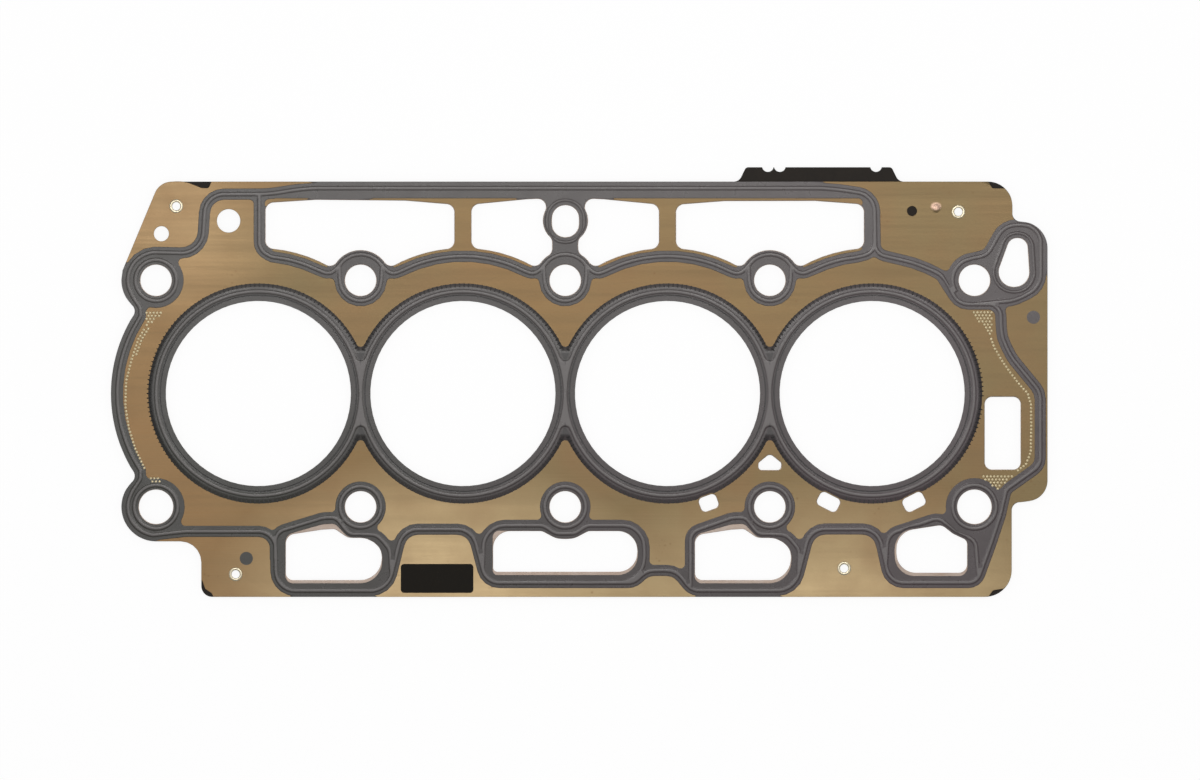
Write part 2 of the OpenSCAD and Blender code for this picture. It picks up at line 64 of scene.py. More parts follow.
def setInput(tree, socket, value):
    if isinstance(value, bpy.types.NodeSocket):
        tree.links.new(value, socket)
    else:
        socket.default_value = value


def put(tree, kind, **values):
    # one node, its inputs given as fixed values or as the sockets that feed them, i3 being input 3
    node = tree.nodes.new(kind)
    for name, value in values.items():
        key = int(name[1:]) if name[0] == "i" and name[1:].isdigit() else name.replace("_", " ")
        setInput(tree, node.inputs[key], value)
    return node


socketKinds = {"Vector": "NodeSocketVector", "Geometry": "NodeSocketGeometry", "Finish": "NodeSocketMaterial"}


def groupWith(name, kind, takes, gives):
    # an empty group, its inputs with their first values and its outputs by name
    tree = bpy.data.node_groups.new(name, kind)
    for label, value in takes.items():
        plain = "NodeSocketInt" if isinstance(value, int) else "NodeSocketFloat"
        item = tree.interface.new_socket(label, in_out="INPUT", socket_type=socketKinds.get(label, plain))
        if value is not None:
            item.default_value = value
    for label in gives:
        kind = socketKinds.get(label, "NodeSocketFloat")
        tree.interface.new_socket(label, in_out="OUTPUT", socket_type=kind)
    return tree, tree.nodes.new("NodeGroupInput").outputs, tree.nodes.new("NodeGroupOutput")


def noise(tree, vector, scale, detail=3.0, rough=0.55):
    return put(tree, "ShaderNodeTexNoise", Vector=vector, Scale=scale, Detail=detail,
               Roughness=rough).outputs["Fac"]


def remap(tree, value, low, high, toLow=0.0, toHigh=1.0):
    return put(tree, "ShaderNodeMapRange", i0=value, i1=low, i2=high, i3=toLow, i4=toHigh).outputs[0]


def mixColours(tree, factor, first, second):
    node = tree.nodes.new("ShaderNodeMix")
    node.data_type = "RGBA"
    setInput(tree, node.inputs[0], factor)
    for key, colour in ((6, first), (7, second)):
        setInput(tree, node.inputs[key], colour if isinstance(colour, bpy.types.NodeSocket) else (*colour, 1))
    return node.outputs[2]


def calculate(tree, operation, first, second=0):
    node = tree.nodes.new("ShaderNodeMath")
    node.operation = operation
    setInput(tree, node.inputs[0], first)
    setInput(tree, node.inputs[1], second)
    return node.outputs[0]


def times(tree, first, second):
    return calculate(tree, "MULTIPLY", first, second)


def tint(tree, colour, other, mask, share=None):
    # a colour that turns into another where the mask is 1, or to a share of it
    return mixColours(tree, mask if share is None else times(tree, mask, share), colour, other)


def splitPlace(tree, vector):
    # the X, Y and Z sockets of a place
    return put(tree, "ShaderNodeSeparateXYZ", Vector=vector).outputs


# Effects that several finishes share

def rollingGrainGroup():
    # fine lines along the rolling direction of the sheet, as a height and as a tone
    tree, given, wanted = groupWith("rollingGrain", "ShaderNodeTree",
                                    {"Vector": None, "Along": 30.0, "Across": 1400.0}, ["Height", "Tone"])
    stretch = put(tree, "ShaderNodeCombineXYZ", X=given["Along"], Y=given["Across"], Z=given["Along"])
    scaled = tree.nodes.new("ShaderNodeVectorMath")
    scaled.operation = "MULTIPLY"
    tree.links.new(given["Vector"], scaled.inputs[0])
    tree.links.new(stretch.outputs[0], scaled.inputs[1])
    lines = noise(tree, scaled.outputs[0], 1.0, 4.0, 0.6)
    broad = noise(tree, scaled.outputs[0], 0.12, 2.0, 0.5)
    tree.links.new(lines, wanted.inputs["Height"])
    tree.links.new(remap(tree, calculate(tree, "ADD", lines, broad), 0.7, 1.3), wanted.inputs["Tone"])
    return tree


def specklesGroup():
    # small soft spots, such as lacquer pinholes and dust in a print
    tree, given, wanted = groupWith("speckles", "ShaderNodeTree",
                                    {"Vector": None, "Scale": 300.0, "Share": 0.1}, ["Mask"])
    cells = put(tree, "ShaderNodeTexVoronoi", Vector=given["Vector"], Scale=given["Scale"])
    near = remap(tree, cells.outputs["Distance"], 0.05, 0.3, 1.0, 0.0)
    seldom = remap(tree, noise(tree, given["Vector"], 90.0, 2.0), 0.58, 0.7)
    tree.links.new(times(tree, times(tree, near, seldom), given["Share"]), wanted.inputs["Mask"])
    return tree


def driftGroup():
    # slow change of tone over the whole part, and a finer mottle
    tree, given, wanted = groupWith("toneDrift", "ShaderNodeTree", {"Vector": None, "Scale": 9.0},
                                    ["Broad", "Mottle"])
    broad = noise(tree, given["Vector"], given["Scale"], 2.0)
    tree.links.new(remap(tree, broad, 0.35, 0.65), wanted.inputs["Broad"])
    mottle = noise(tree, given["Vector"], times(tree, given["Scale"], 9.0), 5.0, 0.65)
    tree.links.new(remap(tree, mottle, 0.3, 0.7), wanted.inputs["Mottle"])
    return tree


def boreRingsGroup():
    # distance in millimetres from the nearest cylinder's axis, and how far round to its left or right
    tree, given, wanted = groupWith("boreRings", "ShaderNodeTree",
                                    {"Vector": None, "Half Pitch": stack["borePitch"] / 2},
                                    ["Radius", "Side"])
    parts, half = splitPlace(tree, given["Vector"]), given["Half Pitch"]
    x = calculate(tree, "ABSOLUTE", times(tree, parts["X"], 1 / mm))
    y = times(tree, parts["Y"], 1 / mm)
    between = calculate(tree, "SUBTRACT", half, calculate(tree, "PINGPONG", x, half))
    beyond = calculate(tree, "SUBTRACT", x, times(tree, half, 3.0))
    across = calculate(tree, "MAXIMUM", between, beyond)
    square = calculate(tree, "ADD", times(tree, across, across), times(tree, y, y))
    radius = calculate(tree, "SQRT", square)
    tree.links.new(radius, wanted.inputs["Radius"])
    tree.links.new(calculate(tree, "DIVIDE", across, radius), wanted.inputs["Side"])
    return tree


shared = {"grain": rollingGrainGroup(), "speckles": specklesGroup(), "drift": driftGroup(),
          "rings": boreRingsGroup()}


bumpDepth = 0.02 * mm


def newFinish(name):
    material = bpy.data.materials.new(name)
    material.use_nodes = True
    tree = material.node_tree
    place = tree.nodes.new("ShaderNodeTexCoord").outputs["Object"]
    return material, tree, place


def useGroup(tree, which, vector, **values):
    node = tree.nodes.new("ShaderNodeGroup")
    node.node_tree = shared[which]
    tree.links.new(vector, node.inputs["Vector"])
    for name, value in values.items():
        node.inputs[name].default_value = value
    return node.outputs


def setSurface(tree, look, colour, rough, height):
    # joins a colour, a roughness that varies and fine bumps to the finish's shader
    shader = tree.nodes["Principled BSDF"]
    tree.links.new(colour, shader.inputs["Base Color"])
    if rough is None:
        shader.inputs["Roughness"].default_value = look["roughness"]
    else:
        tree.links.new(remap(tree, rough, 0, 1, *look["roughness"]), shader.inputs["Roughness"])
    for name, key in (("Metallic", "metallic"), ("Specular IOR Level", "sheen")):
        if key in look:
            shader.inputs[name].default_value = look[key]
    bump = put(tree, "ShaderNodeBump", Strength=look["bump"], Distance=look.get("bumpDepth", bumpDepth),
               Height=height)
    tree.links.new(bump.outputs[0], shader.inputs["Normal"])


def spotMask(tree, place, x, y, width, height, soft):
    # 1 inside an ellipse on the sheet, falling to 0 outside it
    shift = put(tree, "ShaderNodeMapping", Vector=place, Location=(-x / width, -y / height, 0),
                Scale=(1 / (width * mm), 1 / (height * mm), 0))
    length = tree.nodes.new("ShaderNodeVectorMath")
    length.operation = "LENGTH"
    tree.links.new(shift.outputs[0], length.inputs[0])
    return remap(tree, length.outputs["Value"], 1 - soft, 1 + soft, 1.0, 0.0)


def bandMask(tree, value, middle, half, soft):
    # 1 where a value lies near the middle of a band, falling to 0 beside it
    away = calculate(tree, "ABSOLUTE", calculate(tree, "SUBTRACT", value, middle))
    return remap(tree, away, half, half + soft, 1.0, 0.0)


def lacquerFinish():
    look = {
        "gold": (0.205, 0.128, 0.057), "olive": (0.180, 0.135, 0.066), "left": (0.262, 0.158, 0.072),
        "pale": (0.60, 0.45, 0.25), "brown": (0.17, 0.093, 0.041), "warm": (0.200, 0.110, 0.053),
        "paintedDimpleHighlight": (0.72, 0.49, 0.38),
        "toOlive": (0.02, 0.16, 0.0, 0.8), "toLeft": (-0.11, -0.15, 0.0, 0.8),  # along X, in metres
        # middle, half width, half height and softness of each pale area of painted reflection, and the share
        # of pale in it
        "paintedReflectionAreas": (((-52, -88, 62, 40, 0.6), 0.9), ((110, -92, 80, 36, 0.6), 0.7),
                      ((-165, 75, 34, 30, 0.6), 0.3)),
        "dimple": (152.2, 76.8, 1.9, 1.5, 0.3), "dimpleShare": 0.8,
        "patchScale": 19.0, "patches": (0.46, 0.68),
        "mottleShare": 0.22, "warmShare": 0.45, "grainShare": 0.12,
        "roughness": (0.36, 0.5), "metallic": 0.85, "bump": 0.12,
    }
    material, tree, place = newFinish("goldLacquer")
    drift = useGroup(tree, "drift", place, Scale=7.0)
    grain = useGroup(tree, "grain", place, Along=25.0, Across=1300.0)
    specks = useGroup(tree, "speckles", place, Scale=420.0, Share=0.5)
    colour = mixColours(tree, drift["Broad"], look["gold"], look["olive"])
    across = splitPlace(tree, place)["X"]
    colour = tint(tree, colour, look["olive"], remap(tree, across, *look["toOlive"]))
    colour = tint(tree, colour, look["left"], remap(tree, across, *look["toLeft"]))
    # pale patches painted on the lacquer as reflections of the lamps
    for area, share in look["paintedReflectionAreas"]:
        colour = tint(tree, colour, look["pale"], spotMask(tree, place, *area), share)
    colour = tint(tree, colour, look["brown"], drift["Mottle"], look["mottleShare"])
    patches = remap(tree, noise(tree, place, look["patchScale"]), *look["patches"])
    colour = tint(tree, colour, look["warm"], patches, look["warmShare"])
    colour = tint(tree, colour, look["pale"], grain["Tone"], look["grainShare"])
    colour = tint(tree, colour, look["brown"], specks["Mask"])
    # a pale pink spot painted as the highlight on the upper half of the pressed dimple
    colour = tint(tree, colour, look["paintedDimpleHighlight"], spotMask(tree, place, *look["dimple"]), look["dimpleShare"])
    setSurface(tree, look, colour, grain["Tone"], grain["Height"])
    return material


def rubberFinish():
    look = {
        # crest is the pale tone of the wear and painted highlight on bead crests, also used for the painted
        # light towards the top
        "green": (0.041, 0.042, 0.033), "violet": (0.080, 0.060, 0.064), "crest": (0.19, 0.175, 0.17),
        # groove is the tone of the painted shade in the groove and on the rib band
        "dark": (0.03, 0.027, 0.026), "groove": (0.012, 0.011, 0.011),
        "toViolet": (-0.16, 0.16, 0.0, 0.7),  # along X, in metres
        # painted light: the rubber turns paler towards the top
        "paintedLightTowardTop": (-0.03, 0.075, 0.0, 0.26),  # along Y
        "driftShare": 0.3, "mottleShare": 0.15, "crestWearAndHighlightShare": 0.7, "crestWearAndHighlightSpread": (0.85, 1.0),
        "ribShadeBand": (44.5, 0.6, 0.5), "ribShadeShare": 0.6, "ribShadeSides": (0.5, 0.98),
        "grooveShadeBand": (stack["grooveRadius"], 0.2, 0.3), "grooveShadeShare": 0.7,
        "roughness": (0.24, 0.34), "sheen": 0.5, "bump": 0.1,
    }
    material, tree, place = newFinish("greyRubber")
    drift = useGroup(tree, "drift", place, Scale=11.0)
    rings = useGroup(tree, "rings", place)
    specks = useGroup(tree, "speckles", place, Scale=700.0, Share=0.1)
    sides = splitPlace(tree, place)
    crest = tree.nodes.new("ShaderNodeAttribute")
    crest.attribute_name = "crest"
    tone = calculate(tree, "ADD", remap(tree, sides["X"], *look["toViolet"]),
                     times(tree, drift["Broad"], look["driftShare"]))
    colour = mixColours(tree, tone, look["green"], look["violet"])
    # painted light that grows towards the top of the part
    colour = tint(tree, colour, look["crest"], remap(tree, sides["Y"], *look["paintedLightTowardTop"]))
    colour = tint(tree, colour, look["dark"], drift["Mottle"], look["mottleShare"])
    # bead crests lightened as rubbed wear and as a painted highlight along their tops
    crestWearAndHighlight = times(tree, remap(tree, crest.outputs["Fac"], 0.7, 1.0),
                 remap(tree, drift["Mottle"], 0.0, 1.0, *look["crestWearAndHighlightSpread"]))
    colour = tint(tree, colour, look["crest"], crestWearAndHighlight, look["crestWearAndHighlightShare"])
    colour = tint(tree, colour, look["dark"], specks["Mask"])
    # painted shade on the stopper band, darkest at the left and right of each cylinder, where the ribs' sides
    # face away from the light
    ribShadeBySide = times(tree, remap(tree, rings["Side"], *look["ribShadeSides"]), look["ribShadeShare"])
    colour = tint(tree, colour, look["groove"], bandMask(tree, rings["Radius"], *look["ribShadeBand"]), ribShadeBySide)
    # painted shade in the pressed groove round every cylinder
    groove = bandMask(tree, rings["Radius"], *look["grooveShadeBand"])
    colour = tint(tree, colour, look["groove"], groove, look["grooveShadeShare"])
    setSurface(tree, look, colour, drift["Mottle"], noise(tree, place, 2600.0))
    return material


def toothFinish():
    # ribs of the stopper band, with painted shade that is darkest at the left and right of each cylinder,
    # where their sides face away from the light
    look = {"edge": (0.006, 0.0055, 0.0055), "flat": (0.05, 0.046, 0.045), "sides": (0.5, 0.98),
            "mottle": (1.0, 0.75), "roughness": 0.5, "sheen": 0.3, "bump": 0.1}
    material, tree, place = newFinish("rubberTeeth")
    rings = useGroup(tree, "rings", place)
    drift = useGroup(tree, "drift", place, Scale=60.0)
    # the painted shade, strongest at the left and right of each cylinder
    seen = times(tree, remap(tree, rings["Side"], *look["sides"]),
                 remap(tree, drift["Mottle"], 0.0, 1.0, *look["mottle"]))
    colour = mixColours(tree, seen, look["flat"], look["edge"])
    setSurface(tree, look, colour, None, noise(tree, place, 2600.0))
    return material


def plainSteelFinish():
    look = {"steel": (0.38, 0.32, 0.28), "warm": (0.29, 0.205, 0.15), "mottleShare": 0.6,
            "roughness": (0.3, 0.45), "metallic": 1.0, "bump": 0.12}
    material, tree, place = newFinish("plainSteel")
    drift = useGroup(tree, "drift", place, Scale=16.0)
    grain = useGroup(tree, "grain", place, Along=25.0, Across=1600.0)
    colour = tint(tree, look["steel"], look["warm"], drift["Mottle"], look["mottleShare"])
    setSurface(tree, look, colour, grain["Tone"], grain["Height"])
    return material


def mottledFinish(name, look):
    # one colour that turns into a second in patches, and in specks where the look has them
    material, tree, place = newFinish(name)
    mottle = useGroup(tree, "drift", place, Scale=look["driftScale"])["Mottle"]
    main, second = look["colours"]
    colour = tint(tree, main, second, mottle, look["mottleShare"])
    if "specks" in look:
        scale, share = look["specks"]
        specks = useGroup(tree, "speckles", place, Scale=scale, Share=share)
        colour = tint(tree, colour, second, specks["Mask"])
    setSurface(tree, look, colour, mottle, noise(tree, place, *look["grit"]))
    return material


mottledLooks = {
    "blackCoating": {
        "colours": ((0.019, 0.015, 0.012), (0.05, 0.042, 0.034)), "driftScale": 20.0, "mottleShare": 0.4,
        "specks": (500.0, 0.6), "roughness": (0.5, 0.65), "sheen": 0.15, "grit": (3200.0, 3.0), "bump": 0.12},
    "blackMarkingField": {
        "colours": ((0.009, 0.007, 0.0045), (0.022, 0.018, 0.012)), "driftScale": 40.0, "mottleShare": 0.35,
        "specks": (900.0, 0.8), "roughness": (0.42, 0.55), "sheen": 0.1, "grit": (2200.0, 2.0), "bump": 0.1,
        "bumpDepth": 0.5 * bumpDepth},
    # embossed dots, painted pale as highlights on the raised metal
    "paintedDotHighlights": {
        "colours": ((0.74, 0.64, 0.40), (0.55, 0.42, 0.22)), "driftScale": 60.0, "mottleShare": 0.6,
        "roughness": (0.3, 0.42), "metallic": 0.3, "grit": (2600.0, 2.0), "bump": 0.08},
    "eyeletZinc": {
        "colours": ((0.60, 0.54, 0.40), (0.42, 0.36, 0.24)), "driftScale": 60.0, "mottleShare": 0.5,
        "roughness": (0.26, 0.38), "metallic": 1.0, "grit": (1500.0, 2.0), "bump": 0.08},
}
finishes = {"goldLacquer": lacquerFinish(), "greyRubber": rubberFinish(), "rubberTeeth": toothFinish(),
            "plainSteel": plainSteelFinish()}
for finishName, finishLook in mottledLooks.items():
    finishes[finishName] = mottledFinish(finishName, finishLook)
print("finishes made:", len(finishes))


# Outlines, read from the flat faces of the solids

outlineRules = {
    "snap": 0.006,  # points nearer than this are one point
    "flat": 0.004,  # how far from its height a flat face may lie
    "sharpTurn": math.radians(33),  # a corner that stays a corner
    "longShare": 2.5,  # a side this much longer than the next one is straight
    "turnStep": math.radians(6),
}
rowRules = {
    "sharpest": 0.8,  # length of the sum of two sides' normals, below which a corner gets no spot
    "mitre": 0.7,  # least cosine by which a spot moves further in at a corner
    "clear": 0.95,  # share of its distance that a spot keeps from every other loop
    "middleGap": 0.42,  # between spots that meet along the middle of a strip
    "longest": 2.2,  # longest side of a row, in steps
    "longestEdge": 5,  # the same beside the edge of a sheet
}


def newPlan():
    return {"spots": [], "cells": {}, "sides": {}}


def cellsRound(cell):
    return [(cell[0] + i, cell[1] + j) for i in (-1, 0, 1) for j in (-1, 0, 1)]


def addSpot(plan, x, y):
    # the number of a spot at this place, which is an older one where that is near enough
    snap = outlineRules["snap"]
    cell = (round(x / snap), round(y / snap))
    for near in cellsRound(cell):
        found = plan["cells"].get(near)
        if found is not None and (plan["spots"][found] - Vector((x, y))).length < snap:
            return found
    plan["spots"].append(Vector((x, y)))
    plan["cells"][cell] = len(plan["spots"]) - 1
    return plan["cells"][cell]


def pairsOf(loop):
    return list(zip(loop, loop[1:] + loop[:1]))


def flatLoops(plan, nodeName, height):
    # loops of spots round the faces of a node that lie flat at this height, the face on their left
    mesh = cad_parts[nodeName].data
    mesh.calc_loop_triangles()
    points = [vertex.co / mm for vertex in mesh.vertices]
    rings = []
    for triangle in mesh.loop_triangles:
        corners = [points[i] for i in triangle.vertices]
        if any(abs(corner.z - height) > outlineRules["flat"] for corner in corners):
            continue
        a, b, c = corners
        if (b - a).cross(c - a).z < 0:
            b, c = c, b
        rings.append([addSpot(plan, corner.x, corner.y) for corner in (a, b, c)])
    return chainSides(boundaryOf(rings))


def boundaryOf(faces):
    # the sides that only one face has, in its direction
    counts = {}
    for face in faces:
        for start, end in pairsOf(face):
            if start != end:
                key = (min(start, end), max(start, end))
                counts[key] = counts.get(key, 0) + (1 if start < end else -1)
    return {(a, b) if count > 0 else (b, a) for (a, b), count in counts.items() if count}


def edgeSpots(faces):
    return {i for pair in boundaryOf(faces) for i in pair}


def chainSides(sides):
    following = {}
    for start, end in sorted(sides):
        following.setdefault(start, []).append(end)
    loops = []
    while following:
        start = min(following)
        loop = [start]
        current = start
        while True:
            nextSpots = following[current]
            current = nextSpots.pop()
            if not nextSpots:
                del following[loop[-1]]
            if current == start:
                break
            loop.append(current)
        if len(loop) > 2:
            loops.append(loop)
    return loops


def smoothLoops(plan, nodeName, height, step):
    # a node's flat loops with their round stretches made smooth and no side longer than step
    return [smoothLoop(plan, loop, step) for loop in flatLoops(plan, nodeName, height)]


def smoothLoop(plan, loop, step):
    points = [plan["spots"][i] for i in loop]
    count = len(points)
    ways = []
    for i in range(count):
        back = points[i] - points[i - 1]
        ahead = points[(i + 1) % count] - points[i]
        if abs(back.angle_signed(ahead)) > outlineRules["sharpTurn"]:
            ways.append(None)
        elif back.length > outlineRules["longShare"] * ahead.length:
            ways.append(back.normalized())
        elif ahead.length > outlineRules["longShare"] * back.length:
            ways.append(ahead.normalized())
        else:
            ways.append((back / back.length ** 2 + ahead / ahead.length ** 2).normalized())
    smooth = []
    for i in range(count):
        start, end = loop[i], loop[(i + 1) % count]
        smooth.append(start)
        smooth += sideSpots(plan, start, end, ways[i], ways[(i + 1) % count], step)
    return smooth


def sideSpots(plan, start, end, startWay, endWay, step):
    key = (min(start, end), max(start, end))
    if key not in plan["sides"]:
        a, b = plan["spots"][start], plan["spots"][end]
        chord = b - a
        first = startWay or chord.normalized()
        last = endWay or chord.normalized()
        turn = abs(first.angle_signed(chord)) + abs(chord.angle_signed(last))
        parts = max(1, math.ceil(turn / outlineRules["turnStep"]), math.ceil(chord.length / step))
        inner = []
        for k in range(1, parts):
            t = k / parts
            point = (a * (2 * t ** 3 - 3 * t ** 2 + 1) + first * chord.length * (t ** 3 - 2 * t ** 2 + t)
                     + b * (3 * t ** 2 - 2 * t ** 3) + last * chord.length * (t ** 3 - t ** 2))
            inner.append(addSpot(plan, point.x, point.y))
        plan["sides"][key] = inner if start < end else inner[::-1]
    inner = plan["sides"][key]
    return inner if start < end else inner[::-1]


def wallTree(plan, loops):
    # upright walls on the loops, to measure how far a point is from them
    corners, walls = [], []
    for loop in loops:
        base = len(corners)
        for i in loop:
            x, y = plan["spots"][i]
            corners += [Vector((x, y, -1)), Vector((x, y, 1))]
        for i in range(len(loop)):
            j = (i + 1) % len(loop)
            walls.append((base + 2 * i, base + 2 * j, base + 2 * j + 1, base + 2 * i + 1))
    return BVHTree.FromPolygons(corners, walls)


def distanceTo(walls, point):
    return walls.find_nearest(Vector((point.x, point.y, 0)))[3]


def insetRow(plan, loop, walls, distance, middle=None):
    # a row of spots inside a loop, cut where it comes too near another stretch of the loops
    points = [plan["spots"][i] for i in loop]
    count = len(points)
    row = []
    for i in range(count):
        back = (points[i] - points[i - 1]).normalized()
        ahead = (points[(i + 1) % count] - points[i]).normalized()
        normal = Vector((-back.y - ahead.y, back.x + ahead.x))
        if normal.length < rowRules["sharpest"]:
            row.append(None)
            continue
        normal.normalize()
        spot = points[i] + normal * distance / max(rowRules["mitre"], normal.dot(Vector((-ahead.y, ahead.x))))
        fits = distanceTo(walls, spot) > rowRules["clear"] * distance
        if fits and middle is not None:
            fits = clearOf(middle, spot)
        row.append(addSpot(plan, spot.x, spot.y) if fits else None)
    return row


def clearOf(middle, spot):
    # keeps one spot of those that meet along the middle of a strip
    size = rowRules["middleGap"]
    cell = (math.floor(spot.x / size), math.floor(spot.y / size))
    if any((other - spot).length < size for near in cellsRound(cell) for other in middle.get(near, ())):
        return False
    middle.setdefault(cell, []).append(spot)
    return True


def rowSides(plan, row, longest):
    sides = []
    for start, end in pairsOf(row):
        if start is None or end is None or start == end:
            continue
        if (plan["spots"][start] - plan["spots"][end]).length < longest:
            sides.append((start, end))
    return sides


# Sheets

def triangulate(plan, loopSets, sides):
    # one mesh that follows every loop and row, with each face told which sets of loops it lies in
    ordered, names = [], []
    for name, loops in loopSets.items():
        for loop in loops:
            area = sum(plan["spots"][a].cross(plan["spots"][b]) for a, b in pairsOf(loop))
            ordered.append(loop if area > 0 else loop[::-1])
            names.append(name)
    spots, _, faces, _, _, holders = geometry.delaunay_2d_cdt(plan["spots"], sides, ordered, 0, 1e-5)
    inside = []
    for held in holders:
        odd = set()
        for which in held:
            odd ^= {names[which]} if which >= 0 else set()
        inside.append(odd)
    return spots, faces, inside


def flatSurface(spots, height):
    count = len(spots)
    return {"spots": spots, "upper": [height] * count, "crest": [0.0] * count,
            "slopes": [Vector((0, 0))] * count}


def closeShell(name, surface, faces, lower, finish, side):
    # faces at their upper heights, a plain back at the lower height of their edge, and walls between
    spots, slopes = surface["spots"], surface["slopes"]
    sides = boundaryOf(faces)
    outward = edgeDirections(spots, sides)
    edge = sorted(lower)
    local = {i: k for k, i in enumerate(edge)}
    backSpots, _, backFaces, origins, _, _ = geometry.delaunay_2d_cdt(
        [spots[i] for i in edge], [(local[a], local[b]) for a, b in sides], [], 0, 1e-6)
    cover = BVHTree.FromPolygons([Vector((*spot, 0)) for spot in spots], faces)
    used = sorted({i for face in faces for i in face})
    index = {i: k for k, i in enumerate(used)}
    corners = [(spots[i].x * mm, spots[i].y * mm, surface["upper"][i] * mm) for i in used]
    values = [surface["crest"][i] for i in used]
    backIndex = {}
    for spot, found in zip(backSpots, origins):
        for i in found:
            backIndex[i] = len(corners)
        height = lower[edge[found[0]]] if found else sum(lower.values()) / len(lower)
        corners.append((spot.x * mm, spot.y * mm, height * mm))
        values.append(0.0)
    polygons = [tuple(index[i] for i in face) for face in faces]
    first = len(used)
    polygons += [tuple(first + i for i in reversed(face))
                 for face in backFaces if isUnder(cover, [backSpots[i] for i in face])]
    polygons += [(index[b], index[a], backIndex[local[a]], backIndex[local[b]]) for a, b in sides]
    if side < 0:
        polygons = [polygon[::-1] for polygon in polygons]
    piece = newPiece(name, corners, polygons, finishes[finish], values)
    normals = [Vector((*(-slopes[i]), side)).normalized() for i in used]
    for i, way in outward.items():
        normals[index[i]] = Vector((*(way * beadLook["rollOver"]), side)).normalized()
    normals += [Vector((0, 0, -side))] * (len(corners) - len(used))
    walls = {index[i]: Vector((*way, 0)) for i, way in outward.items()}
    walls.update({backIndex[local[i]]: Vector((*way, 0)) for i, way in outward.items()})
    shadeBy(piece.data, normals, walls)
    return piece


def isUnder(cover, corners):
    middle = sum(corners, Vector((0, 0))) / len(corners)
    return cover.ray_cast(Vector((*middle, -1)), Vector((0, 0, 1)))[0] is not None


def edgeDirections(spots, sides):
    # at each spot of an edge, the direction that leads off the sheet
    outward = {}
    for a, b in sides:
        along = (spots[b] - spots[a]).normalized()
        for i in (a, b):
            outward[i] = outward.get(i, Vector((0, 0))) + Vector((along.y, -along.x))
    return {i: way.normalized() for i, way in outward.items()}


def shadeBy(mesh, normals, walls):
    # gives every corner its normal: the sheet's own on its faces, the edge's on its walls
    corners = []
    for polygon in mesh.polygons:
        for i in polygon.vertices:
            if len(polygon.vertices) == 3:
                corners.append(normals[i])
            elif walls[i].dot(polygon.normal) > beadLook["wallTurn"]:
                corners.append(walls[i])
            else:
                corners.append(polygon.normal.copy())
    mesh.normals_split_custom_set(corners)


def newPiece(name, corners, polygons, finish, values):
    mesh = bpy.data.meshes.new(name)
    mesh.from_pydata(corners, [], polygons)
    layer = mesh.attributes.new("crest", "FLOAT", "POINT")
    layer.data.foreach_set("value", values)
    mesh.validate()
    mesh.shade_smooth()
    mesh.set_sharp_from_angle(angle=beadLook["sharpAngle"])
    mesh.materials.append(finish)
    return newObject(name, mesh)


def newObject(name, data):
    made = bpy.data.objects.new(name, data)
    bpy.context.scene.collection.objects.link(made)
    return made


def addPiece(piece, slotName, *nodes):
    # a piece of the scene, in place of the nodes that it shows
    if nodes:
        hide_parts(*nodes)
    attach(piece, "root")
    print("  ", piece.name, len(piece.data.polygons), "faces")


beadLook = {
    "rows": (0.25, 0.5, 0.78, 1.05),  # distances from the foot of a bead to its rows of points
    "half": 1.1,  # half the width of a full bead
    "step": 1.0,  # longest side of a smooth loop
    "sheetStep": 4,  # longest side of the sheet's own edge, in steps
    "edgeRow": 0.14,  # from the edge of a sheet to where its rounding ends
    "edgeDrop": 0.05,  # how far a stamped edge is rounded down
    "rollOver": 0.45,  # how far the normal leans out at a stamped edge
    "wallTurn": 0.85,  # least cosine between a wall and its edge's direction for round shading
    "sharpAngle": math.radians(38),
    "coatRow": 0.3,  # from the edge of the print to its full thickness
    "coatFoot": 0.004,  # how thick the print is at its edge
    "coatSink": 0.02,  # how deep its back lies in the sheet
    "edgeReach": 0.6,  # widest strip beside an edge that the print still covers
    "ringFoot": 43.0,  # outer foot of the bead round a cylinder
    "forkFillet": 1.8,
    "groove": {"radius": stack["grooveRadius"], "half": 0.36, "depth": 0.06},
}


def beadLayer(layer):
    # a pressed sheet and the rubber printed on it, as two pieces
    side = layer["side"]
    plan = newPlan()
    loops = layerLoops(plan, layer)
    walls = {name: wallTree(plan, loops[name]) for name in ("bead", "sheet", "coat")}
    sides = layerRows(plan, layer, loops, walls)
    spots, faces, inside = triangulate(plan, {name: loops[name] for name in ("sheet", "bead", "skin")}, sides)
    sheetFaces = [face for face, sets in zip(faces, inside) if "sheet" in sets]
    coatFaces = [face for face, sets in zip(faces, inside) if "sheet" in sets
                 and (sets & {"bead", "skin"} or besideEdge(spots, face, (walls["coat"], walls["sheet"])))]
    surface = flatSurface(spots, layer["faceZ"])
    beadSpots = {i for face, sets in zip(faces, inside) if "bead" in sets for i in face}
    raiseBeads(surface, beadSpots, walls["bead"], layer)
    pressGrooves(surface, side)
    if layer["dimple"]:
        pressDimple(surface, layer["dimple"], layer["faceZ"])
    sheetEdge = edgeSpots(sheetFaces)
    for i in sheetEdge:
        surface["upper"][i] -= side * beadLook["edgeDrop"]
    back = {i: layer["backZ"] for i in sheetEdge}
    addPiece(closeShell(layer["sheetPiece"], surface, sheetFaces, back, "goldLacquer", side),
             "lacquered_steel", layer["sheetNode"])
    addPiece(printCoat(layer, surface, coatFaces), "grey_rubber", layer["coatNode"])
    return walls["sheet"]


def layerLoops(plan, layer):
    beads = smoothLoops(plan, layer["sheetNode"], layer["crestZ"], layer["step"])
    if layer["dimple"]:
        beads = [loop for loop in beads if not nearTo(plan, loop, layer["dimple"]["at"])]
    skin = smoothLoops(plan, layer["coatNode"], layer["skinZ"], layer["step"])
    coat = coatLoops(skin, beads)
    beads = [fillForks(plan, loop) for loop in beads]
    sheet = smoothLoops(plan, layer["sheetNode"], layer["backZ"], beadLook["sheetStep"] * layer["step"])
    return {"bead": beads, "skin": skin, "coat": coat, "sheet": sheet}


